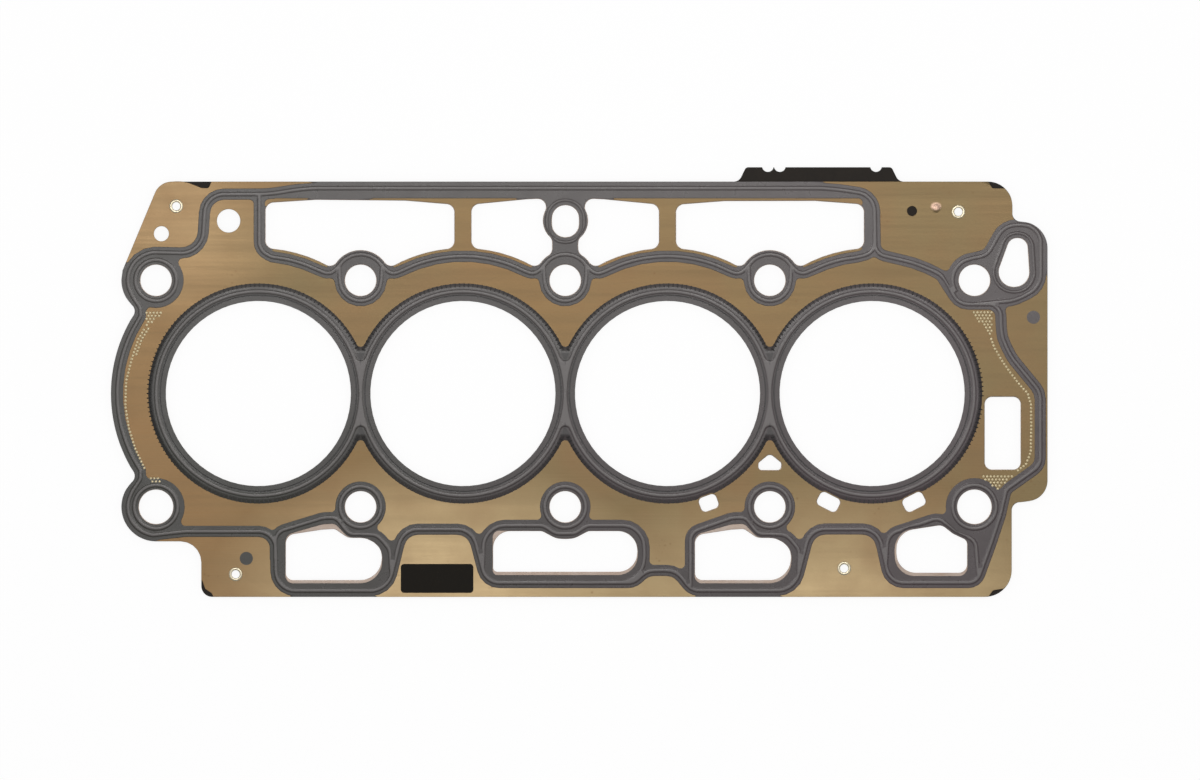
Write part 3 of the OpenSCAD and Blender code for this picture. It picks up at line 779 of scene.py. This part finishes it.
def layerRows(plan, layer, loops, walls):
    # rows of points beside the loops, on which the beads rise and the edges roll over
    longest = rowRules["longest"] * layer["step"]
    longestEdge = rowRules["longestEdge"] * layer["step"]
    sides = []
    for loop in loops["bead"]:
        for distance in beadLook["rows"][:-1]:
            sides += rowSides(plan, insetRow(plan, loop, walls["bead"], distance), longest)
    middle = {}
    for loop in loops["bead"]:
        row = insetRow(plan, loop, walls["bead"], beadLook["rows"][-1], middle)
        sides += rowSides(plan, row, longest)
    for loop in loops["sheet"]:
        sides += rowSides(plan, insetRow(plan, loop, walls["sheet"], beadLook["edgeRow"]), longestEdge)
    for loop in loops["coat"]:
        sides += rowSides(plan, insetRow(plan, loop, walls["coat"], beadLook["coatRow"]), longest)
    sides += grooveRings(plan, layer["step"])
    if layer["dimple"]:
        sides += dimpleRings(plan, layer["dimple"])
    return sides


def raiseBeads(surface, beadSpots, walls, layer):
    # round beads that rise from their feet, as heights, slopes and a share of the full height
    for i in beadSpots:
        spot = surface["spots"][i]
        foot, _, _, gap = walls.find_nearest(Vector((*spot, 0)))
        part = min(1.0, gap / beadLook["half"])
        surface["crest"][i] = part * (2 - part)
        if gap > 0.01:
            steep = 2 * (1 - part) / beadLook["half"] * layer["beadHeight"]
            surface["slopes"][i] = (spot - foot.xy) / gap * steep
        surface["upper"][i] += layer["side"] * layer["beadHeight"] * surface["crest"][i]


def printCoat(layer, surface, faces):
    # the rubber print, thin at its edge and of full thickness a little way inside
    side, upper, foot = layer["side"], surface["upper"], beadLook["coatFoot"]
    ends = boundaryOf(faces)
    edge = {i for pair in ends for i in pair}
    walls = wallTree(surface, chainSides(ends))
    raised = list(upper)
    for i in {i for face in faces for i in face}:
        part = 0.0 if i in edge else min(1.0, distanceTo(walls, surface["spots"][i]) / beadLook["coatRow"])
        raised[i] += side * (foot + (stack["coat"] - foot) * part * (2 - part))
    back = {i: upper[i] - side * beadLook["coatSink"] for i in edge}
    return closeShell(layer["coatPiece"], {**surface, "upper": raised}, faces, back, "greyRubber", side)


def besideEdge(spots, face, walls):
    # true on the narrow strips between the print and the edge of the sheet
    middle = sum((spots[i] for i in face), Vector((0, 0))) / len(face)
    return sum(distanceTo(wall, middle) for wall in walls) < beadLook["edgeReach"]


def nearTo(plan, loop, point):
    centre = sum((plan["spots"][i] for i in loop), Vector((0, 0))) / len(loop)
    return (centre - Vector(point)).length < 0.5


def coatLoops(skin, beads):
    # the outer edge of the print: sides of the flat skin that no bead shares
    beadSides = {(b, a) for loop in beads for a, b in pairsOf(loop)}
    sides = {pair for loop in skin for pair in pairsOf(loop)}
    own = sides - beadSides
    beadOwn = {(b, a) for a, b in beadSides} - {(b, a) for a, b in sides}
    return chainOpen(own | beadOwn)


def chainOpen(sides):
    # loops where the sides close, and nothing of the stretches that don't
    following = {a: b for a, b in sides}
    loops, done = [], set()
    for start in sorted(following):
        loop, current = [], start
        while current in following and current not in done:
            done.add(current)
            loop.append(current)
            current = following[current]
        if len(loop) > 2 and current == start:
            loops.append(loop)
    return loops


def fillForks(plan, loop):
    # the same bead loop with the sharp fork between two cylinders' beads made round
    reach, fillet = beadLook["ringFoot"], beadLook["forkFillet"]
    half = stack["borePitch"] / 2
    height = math.sqrt((reach + fillet) ** 2 - half ** 2)
    touch = half * fillet / (reach + fillet), height * reach / (reach + fillet)
    fork = 0.95 * math.sqrt(reach ** 2 - half ** 2)
    for boreX in boreXs[:-1]:
        for way in (1, -1):
            centre = Vector((boreX + half, way * height))
            corners = [plan["spots"][i] for i in loop]
            near = [abs(at.x - centre.x) < touch[0] and fork < way * at.y < touch[1] for at in corners]
            if not any(near) or all(near):
                continue
            first = next(k for k in range(len(loop)) if near[k] and not near[k - 1])
            loop = loop[first:] + loop[:first]
            inside = sum(near)
            fromLeft = plan["spots"][loop[-1]].x < centre.x
            arc = []
            start = math.atan2(touch[1] - height, touch[0])
            for k in range(9):
                angle = math.pi - start + (math.pi + 2 * start) * k / 8
                spot = centre + fillet * Vector((math.cos(angle), way * math.sin(angle)))
                arc.append(addSpot(plan, spot.x, spot.y))
            loop = (arc if fromLeft else arc[::-1]) + loop[inside:]
    return loop


def ringSides(plan, x, y, radius, count):
    turns = [2 * math.pi * k / count for k in range(count)]
    ring = [addSpot(plan, x + radius * math.cos(turn), y + radius * math.sin(turn)) for turn in turns]
    return pairsOf(ring)


def grooveRings(plan, step):
    groove = beadLook["groove"]
    sides = []
    for boreX in boreXs:
        for share in (-1, -0.5, 0, 0.5, 1):
            radius = groove["radius"] + share * groove["half"]
            sides += ringSides(plan, boreX, 0, radius, round(2 * math.pi * radius / step))
    return sides


def pressGrooves(surface, side):
    # a narrow groove inside the bead of every cylinder
    groove = beadLook["groove"]
    for i, spot in enumerate(surface["spots"]):
        for boreX in boreXs:
            out = Vector((spot.x - boreX, spot.y))
            share = (out.length - groove["radius"]) / groove["half"]
            if abs(share) < 0.98:
                deep = 0.5 + 0.5 * math.cos(math.pi * share)
                steep = 0.5 * math.pi / groove["half"] * math.sin(math.pi * share) * groove["depth"]
                surface["crest"][i] = -deep
                surface["upper"][i] -= side * groove["depth"] * deep
                surface["slopes"][i] = out.normalized() * steep


def dimpleRings(plan, dimple):
    x, y = dimple["at"]
    sides = []
    for share in (1.0, 0.85, 0.7, 0.55, 0.4, 0.25):
        sides += ringSides(plan, x, y, share * dimple["radius"], max(8, int(32 * share)))
    addSpot(plan, x, y)
    return sides


def pressDimple(surface, dimple, base):
    centre = Vector(dimple["at"])
    for i, spot in enumerate(surface["spots"]):
        share = (spot - centre).length / dimple["radius"]
        if share < 0.999:
            part = min(1.0, (1 - share) / dimple["flank"])
            surface["upper"][i] = base + dimple["height"] * (0.5 - 0.5 * math.cos(math.pi * part))
            width = dimple["flank"] * dimple["radius"]
            steep = 0.5 * math.pi / width * math.sin(math.pi * part) * dimple["height"]
            surface["slopes"][i] = (centre - spot).normalized() * steep


topLayer = {
    "side": 1, "step": beadLook["step"],
    "sheetNode": "top_layer", "coatNode": "top_coating",
    "sheetPiece": "upper_bead_sheet", "coatPiece": "upper_rubber_print",
    "crestZ": stack["crest"], "skinZ": stack["face"], "backZ": stack["topUnder"], "faceZ": stack["face"],
    "beadHeight": stack["crest"] - stack["face"],
    "dimple": {"at": (152.2, 76.1), "radius": 2.2, "height": 0.23, "flank": 0.75},
}
bottomLayer = {
    "side": -1, "step": 1.6 * beadLook["step"],
    "sheetNode": "bottom_layer", "coatNode": "bottom_coating",
    "sheetPiece": "lower_bead_sheet", "coatPiece": "lower_rubber_print",
    "crestZ": 0.0, "skinZ": stack["bottomFace"], "backZ": stack["bottomOver"], "faceZ": stack["bottomFace"],
    "beadHeight": stack["bottomFace"] - stack["coat"],
    "dimple": None,
}
print("bead layers")
upperEdges = beadLayer(topLayer)
lowerEdges = beadLayer(bottomLayer)


plainLook = {"step": 6, "longest": 8}


def plainLayer(name, node, finish, slotName):
    # a flat sheet with its round stretches made smooth
    low, high = (corner.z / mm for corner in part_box(node))
    plan = newPlan()
    outline = smoothLoops(plan, node, high, plainLook["step"])
    walls = wallTree(plan, outline)
    sides = []
    for loop in outline:
        sides += rowSides(plan, insetRow(plan, loop, walls, beadLook["edgeRow"]), plainLook["longest"])
    spots, faces, inside = triangulate(plan, {"sheet": outline}, sides)
    kept = [face for face, sets in zip(faces, inside) if sets]
    edge = edgeSpots(kept)
    surface = flatSurface(spots, high)
    for i in edge:
        surface["upper"][i] -= beadLook["edgeDrop"]
    addPiece(closeShell(name, surface, kept, {i: low for i in edge}, finish, 1), slotName, node)


print("flat layers")
plainLayer("black_sheet", "black_layer", "blackCoating", "black_coated_steel")
plainLayer("spacer_sheet", "spacer_layer", "plainSteel", "plain_steel")


# Repeated shapes, by geometry nodes

def placeOnPoints(tree, given, wanted, shape, **values):
    # a shape on every point, made real, smooth and painted
    placed = put(tree, "GeometryNodeInstanceOnPoints", Points=given["Geometry"], Instance=shape, **values)
    real = put(tree, "GeometryNodeRealizeInstances", Geometry=placed.outputs[0])
    smooth = put(tree, "GeometryNodeSetShadeSmooth", Geometry=real.outputs[0])
    painted = put(tree, "GeometryNodeSetMaterial", Geometry=smooth.outputs[0], Material=given["Finish"])
    tree.links.new(painted.outputs[0], wanted.inputs[0])


def scatterTree():
    # a flattened round bump on every point, turned by the points' own angles
    tree, given, wanted = groupWith(
        "scatteredBumps", "GeometryNodeTree",
        {"Geometry": None, "Length": 1.0, "Width": 1.0, "Height": 0.1, "Segments": 8, "Rings": 4,
         "Finish": None},
        ["Geometry"])
    bump = put(tree, "GeometryNodeMeshUVSphere", Segments=given["Segments"], Rings=given["Rings"], Radius=0.5)
    size = put(tree, "ShaderNodeCombineXYZ", X=given["Length"], Y=given["Width"], Z=given["Height"])
    turn = put(tree, "GeometryNodeInputNamedAttribute", Name="turn")
    angles = put(tree, "ShaderNodeCombineXYZ", Z=turn.outputs["Attribute"])
    rotation = put(tree, "FunctionNodeEulerToRotation", Euler=angles.outputs[0])
    placeOnPoints(tree, given, wanted, bump.outputs["Mesh"], Rotation=rotation.outputs[0],
                  Scale=size.outputs[0])
    return tree


def eyeletTree():
    # a tube between two rolled lips on every point
    tree, given, wanted = groupWith(
        "rolledEyelets", "GeometryNodeTree",
        {"Geometry": None, "Hole": 0.0017, "Wall": 0.0004, "Flange": 0.0028, "Lip": 0.00018, "Low": 0.0,
         "High": 0.001, "Finish": None},
        ["Geometry"])
    hole, wall, flange, low, high = (given[key] for key in ("Hole", "Wall", "Flange", "Low", "High"))

    def halfOf(operation, first, second):
        return times(tree, calculate(tree, operation, first, second), 0.5)

    def sweepAndLift(radius, section, height):
        path = put(tree, "GeometryNodeCurvePrimitiveCircle", Resolution=40, Radius=radius)
        swept = put(tree, "GeometryNodeCurveToMesh", Curve=path.outputs["Curve"], i1=section)
        lift = put(tree, "ShaderNodeCombineXYZ", Z=height)
        return put(tree, "GeometryNodeTransform", Geometry=swept.outputs["Mesh"],
                   Translation=lift.outputs[0]).outputs["Geometry"]

    joined = tree.nodes.new("GeometryNodeJoinGeometry")
    for level in (high, low):
        ring = put(tree, "GeometryNodeCurvePrimitiveCircle", Resolution=14, Radius=1.0)
        flat = put(tree, "ShaderNodeCombineXYZ", X=halfOf("SUBTRACT", flange, hole), Y=given["Lip"], Z=1.0)
        section = put(tree, "GeometryNodeTransform", Geometry=ring.outputs["Curve"], Scale=flat.outputs[0])
        lip = sweepAndLift(halfOf("ADD", hole, flange), section.outputs["Geometry"], level)
        tree.links.new(lip, joined.inputs[0])
    section = put(tree, "GeometryNodeCurvePrimitiveQuadrilateral", Width=wall,
                  Height=calculate(tree, "SUBTRACT", high, low))
    radius = calculate(tree, "ADD", hole, times(tree, wall, 0.5))
    tube = sweepAndLift(radius, section.outputs["Curve"], halfOf("ADD", high, low))
    tree.links.new(tube, joined.inputs[0])
    placeOnPoints(tree, given, wanted, joined.outputs[0])
    return tree


def growPiece(name, tree, points, turns, values):
    # runs a tree on a set of points and keeps the result as a plain mesh
    mesh = bpy.data.meshes.new(name + "_points")
    mesh.from_pydata([Vector(point) * mm for point in points], [], [])
    layer = mesh.attributes.new("turn", "FLOAT", "POINT")
    layer.data.foreach_set("value", turns)
    seed = newObject(name + "_seed", mesh)
    modifier = seed.modifiers.new("grow", "NODES")
    modifier.node_group = tree
    for item in tree.interface.items_tree:
        if item.item_type == "SOCKET" and item.in_out == "INPUT" and item.name in values:
            modifier[item.identifier] = values[item.name]
    bpy.context.view_layer.update()
    result = bpy.data.meshes.new_from_object(seed.evaluated_get(bpy.context.evaluated_depsgraph_get()))
    result.name = name
    bpy.data.objects.remove(seed)
    return newObject(name, result)


ribLook = {"middle": 44.45, "endShift": 0.55, "length": 1.85, "width": 0.62, "height": 0.14, "pitch": 1.85,
           "webGap": 46.3, "holeGap": 1.5}


def stopperRibs(edges):
    # short ribs across the stopper band round every cylinder, none where two bands meet or at a hole
    points, turns = [], []
    count = round(2 * math.pi * ribLook["middle"] / ribLook["pitch"])
    for boreX in boreXs:
        for k in range(count):
            angle = 2 * math.pi * (k + 0.5) / count
            outer = math.cos(angle) * (boreX == boreXs[-1]) - math.cos(angle) * (boreX == boreXs[0])
            radius = ribLook["middle"] + ribLook["endShift"] * max(0, outer) ** 4
            x = boreX + radius * math.cos(angle)
            y = radius * math.sin(angle)
            if any(math.hypot(x - other, y) < ribLook["webGap"] for other in boreXs if other != boreX):
                continue
            if distanceTo(edges, Vector((x, y))) < ribLook["holeGap"]:
                continue
            points.append((x, y))
            turns.append(angle)
    return points, turns


bumps = scatterTree()
print("repeated shapes")
for pieceName, level, edges in (
        ("upper_stopper_ribs", stack["face"] + 0.5 * stack["coat"], upperEdges),
        ("lower_stopper_ribs", stack["bottomFace"] - 0.5 * stack["coat"], lowerEdges)):
    ribPoints, ribTurns = stopperRibs(edges)
    ribSizes = {"Length": ribLook["length"] * mm, "Width": ribLook["width"] * mm,
                "Height": ribLook["height"] * mm, "Finish": finishes["rubberTeeth"]}
    ribSpots = [(x, y, level) for x, y in ribPoints]
    addPiece(growPiece(pieceName, bumps, ribSpots, ribTurns, ribSizes), "grey_rubber")

dotLook = {
    "pitch": 1.45, "width": 1.15, "height": 0.22,
    "apart": 0.7,  # least way from a dot in a row to any other, in pitches
    "most": 20,  # rows and columns that are tried in a field
    "fields": [
        [(-172.6, 34.4), (-164.6, 34.4), (-166.5, 31.6), (-170.2, 28.4), (-172.4, 27.6)],
        [(165.6, 34.6), (174.9, 34.6), (175.8, 29), (174.6, 22.5), (171.4, 27.5)],
        [(169.6, -32.8), (185.8, -32.8), (180.4, -36.8), (177.2, -39.8), (173, -36)],
        [(-170.9, -33.6), (-166.4, -34.4), (-166.2, -36.4), (-169.4, -36.4)],
    ],
    "rows": [
        [(-172.2, 27.4), (-175.2, 22.4), (-178, 14), (-180.3, 5), (-180.6, -5), (-179.2, -14), (-176.4, -23),
         (-172.6, -31)],
        [(-171.2, 26.6), (-173.8, 22.4), (-176.4, 15.2)],
        [(174.9, 22.4), (176.3, 18.6), (179, 14), (182.4, 9), (186.6, 3.6), (189.9, 0), (191.2, -4.5),
         (191.3, -14), (191.1, -24), (189.2, -29), (184.8, -32.4)],
    ],
}


def dotPoints():
    pitch = dotLook["pitch"]
    points = []
    for field in dotLook["fields"]:
        corners = [Vector(corner) for corner in field]
        top = max(corner.y for corner in corners)
        left = min(corner.x for corner in corners)
        lineHeight = pitch * math.sqrt(3) / 2
        for row in range(dotLook["most"]):
            for column in range(dotLook["most"]):
                spot = Vector((left + (column + 0.5 * (row % 2)) * pitch, top - row * lineHeight))
                if insideField(spot, corners):
                    points.append(spot)
    for row in dotLook["rows"]:
        corners = [Vector(corner) for corner in row]
        carry = 0.0
        for start, end in zip(corners, corners[1:]):
            length = (end - start).length
            while carry < length:
                spot = start.lerp(end, carry / length)
                if all((spot - other).length > dotLook["apart"] * pitch for other in points):
                    points.append(spot)
                carry += pitch
            carry -= length
    return points


def insideField(spot, corners):
    odd = False
    for a, b in pairsOf(corners):
        if (a.y > spot.y) != (b.y > spot.y):
            if spot.x < a.x + (spot.y - a.y) * (b.x - a.x) / (b.y - a.y):
                odd = not odd
    return odd


dots = dotPoints()
dotSizes = {"Length": dotLook["width"] * mm, "Width": dotLook["width"] * mm,
            "Height": dotLook["height"] * mm, "Finish": finishes["paintedDotHighlights"]}
dotSpots = [(dot.x, dot.y, stack["face"]) for dot in dots]
addPiece(growPiece("embossed_dots", bumps, dotSpots, [0.0] * len(dots), dotSizes), "lacquered_steel")

eyeletLook = {"Hole": 1.7, "Wall": 0.4, "Flange": 2.8, "Lip": 0.17, "Low": stack["bottomFace"],
              "High": stack["face"]}
eyeletNodes = ["eyelet_top_left", "eyelet_top_right", "eyelet_bottom_left", "eyelet_bottom_right"]
eyeletSizes = {name: value * mm for name, value in eyeletLook.items()}
eyeletSizes["Finish"] = finishes["eyeletZinc"]
eyeletSpots = [sum(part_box(node), Vector()) / 2 / mm for node in eyeletNodes]
eyelets = growPiece("rolled_eyelets", eyeletTree(), [(spot.x, spot.y, 0) for spot in eyeletSpots],
                    [0.0] * len(eyeletNodes), eyeletSizes)
addPiece(eyelets, "eyelet_steel", *eyeletNodes)

for node, finish in (("label_print", "blackMarkingField"), ("coat_dot_left", "greyRubber"),
                     ("coat_dot_right", "greyRubber")):
    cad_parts[node].data.materials.clear()
    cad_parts[node].data.materials.append(finishes[finish])


# Floor, light and camera

def showsWhite(tree):
    # 1 for what the camera, a reflection or glass sees straight on
    path = tree.nodes.new("ShaderNodeLightPath")
    seen = calculate(tree, "MAXIMUM", path.outputs["Is Camera Ray"], path.outputs["Is Glossy Ray"])
    return calculate(tree, "MAXIMUM", seen, path.outputs["Is Transmission Ray"])


floorLook = {"half": 6.0, "height": -0.015, "own": 0.22, "glow": 0.84}


def makeFloor():
    half, z = floorLook["half"], floorLook["height"] * mm
    mesh = bpy.data.meshes.new("paleFloor")
    corners = [(-half, -half, z), (half, -half, z), (half, half, z), (-half, half, z)]
    mesh.from_pydata(corners, [], [(0, 1, 2, 3)])
    floor = newObject("paleFloor", mesh)
    material = bpy.data.materials.new("palePaper")
    material.use_nodes = True
    tree = material.node_tree
    tree.nodes.remove(tree.nodes["Principled BSDF"])
    paper = put(tree, "ShaderNodeBsdfDiffuse", Color=(floorLook["own"],) * 3 + (1,))
    glow = put(tree, "ShaderNodeEmission", Color=(1, 1, 1, 1), Strength=floorLook["glow"])
    seen = put(tree, "ShaderNodeAddShader", i0=paper.outputs[0], i1=glow.outputs[0])
    plain = put(tree, "ShaderNodeBsdfDiffuse", Color=(0.8, 0.8, 0.8, 1))
    choice = put(tree, "ShaderNodeMixShader", i0=showsWhite(tree), i1=plain.outputs[0], i2=seen.outputs[0])
    tree.links.new(choice.outputs[0], tree.nodes["Material Output"].inputs["Surface"])
    mesh.materials.append(material)


worldLook = {"horizon": (0.95, 0.95, 0.95), "top": (0.2, 0.2, 0.21), "rise": (0.3, 0.7)}


def makeWorld():
    # a pale room, bright all round and darker overhead
    world = bpy.data.worlds.new("paleStudio")
    bpy.context.scene.world = world
    world.use_nodes = True
    tree = world.node_tree
    parts = splitPlace(tree, tree.nodes.new("ShaderNodeTexCoord").outputs["Generated"])
    rise = remap(tree, parts["Z"], *worldLook["rise"])
    tree.links.new(mixColours(tree, rise, worldLook["horizon"], worldLook["top"]),
                   tree.nodes["Background"].inputs["Color"])


# all lamps aim at the origin, and radiance counts in units of white paper in plain light
lampLook = {
    "softbox": {"at": (0.0, 0.0, 1.6), "size": (1.1, 0.62), "radiance": 1.0, "colour": (1.0, 0.99, 0.98)},
    "key": {"at": (0.0, 0.3, 1.3), "size": (0.9, 0.1), "radiance": 12.0, "colour": (1.0, 0.98, 0.96)},
    "left": {"at": (-0.45, 0.0, 1.3), "size": (0.08, 0.8), "radiance": 3.0, "colour": (0.97, 0.98, 1.0)},
    "right": {"at": (0.45, 0.0, 1.3), "size": (0.08, 0.8), "radiance": 3.0, "colour": (1.0, 0.98, 0.97)},
}


def makeLamp(name, look):
    data = bpy.data.lights.new(name, "AREA")
    data.shape = "RECTANGLE"
    data.size, data.size_y = look["size"]
    data.energy = look["radiance"] * math.pi * data.size * data.size_y
    data.color = look["colour"]
    lamp = newObject(name, data)
    lamp.location = look["at"]
    lamp.rotation_euler = (-lamp.location).to_track_quat("-Z", "Y").to_euler()
    lamp.visible_camera = False


cameraLook = {"centre": (14.28, 1.44), "across": 492.6, "lens": 200.0, "sensor": 36.0, "clip": (0.05, 50)}


def makeCamera():
    data = bpy.data.cameras.new("camera")
    data.lens = cameraLook["lens"]
    data.sensor_width = cameraLook["sensor"]
    camera = newObject("camera", data)
    distance = cameraLook["across"] * cameraLook["lens"] / cameraLook["sensor"] + stack["face"]
    camera.location = Vector((*cameraLook["centre"], distance)) * mm
    data.clip_start, data.clip_end = cameraLook["clip"]
    bpy.context.scene.camera = camera


makeFloor()
makeWorld()
for lampName, lampValues in lampLook.items():
    makeLamp(lampName, lampValues)
makeCamera()
bpy.context.scene.view_settings.view_transform = "Standard"
print("stage set")
